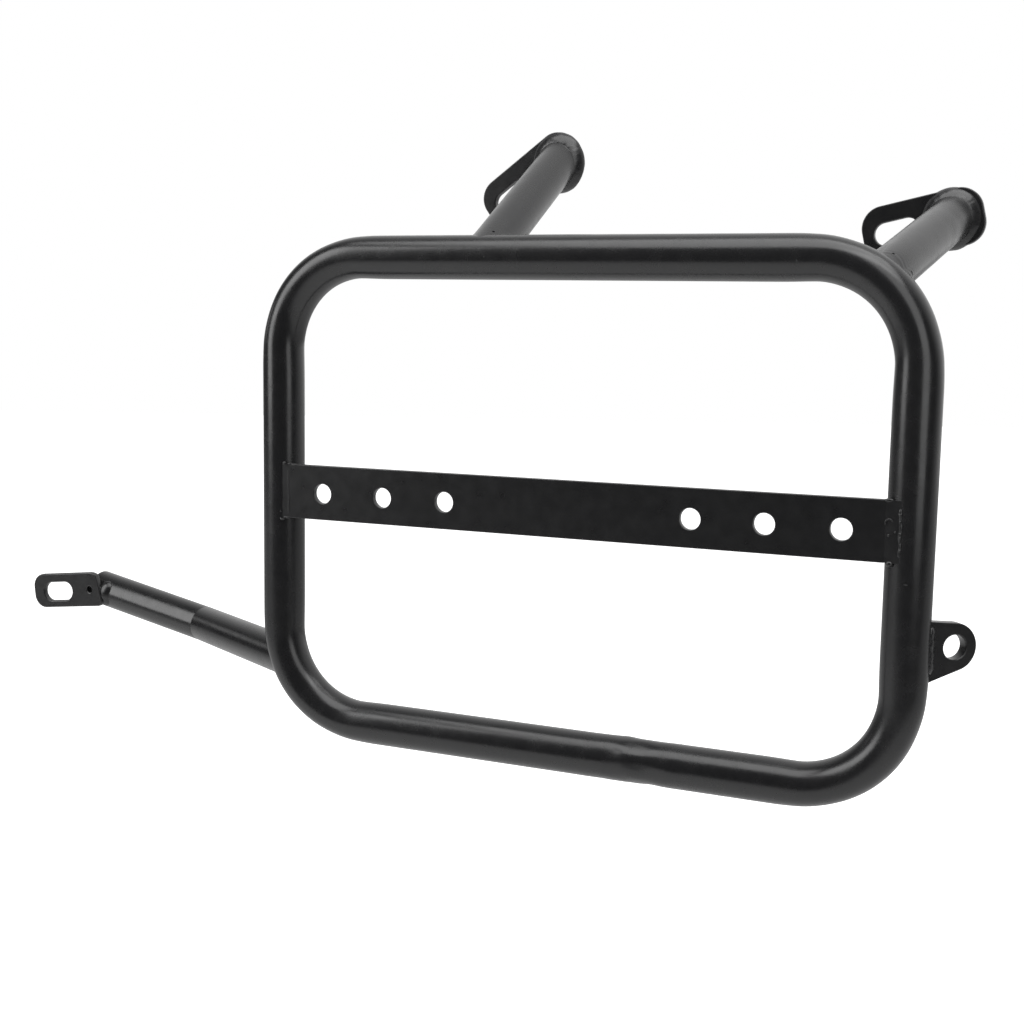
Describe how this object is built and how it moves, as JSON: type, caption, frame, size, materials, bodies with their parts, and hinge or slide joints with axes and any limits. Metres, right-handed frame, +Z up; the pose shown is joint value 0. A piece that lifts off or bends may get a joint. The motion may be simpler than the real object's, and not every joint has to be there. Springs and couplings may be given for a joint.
{
  "type": "motorbike pannier frame",
  "caption": "Welded tube hoop with a drilled flat bar across it, two struts and a bent arm with slotted plates, and a drilled lug, in black powder coat.",
  "frame": {"origin": "front face of the cross bar, in the middle of its row of holes", "axes": "+X along the cross bar to the end with the drilled lug, +Y from the pannier side towards the bike, +Z up"},
  "size_m": [0.5031, 0.1036, 0.2844],
  "materials": {
    "coat": "satin black powder coat on mild steel",
    "weld": "satin black powder coat over weld beads"
  },
  "bodies": {
    "root": {"hoop_tube": "coat", "hoop_butt_weld": "weld", "cross_bar": "coat", "bar_weld_left": "weld", "bar_weld_right": "weld", "left_strut_tube": "coat", "left_foot_weld": "weld", "left_plate": "coat", "left_plate_weld": "weld", "right_strut_tube": "coat", "right_foot_weld": "weld", "right_plate": "coat", "right_plate_weld": "weld", "rear_arm_tube": "coat", "arm_foot_weld": "weld", "arm_tab": "coat", "arm_tab_weld": "weld", "lower_lug": "coat", "lug_weld_front": "weld", "lug_weld_rear": "weld"}
  },
  "joints": []
}
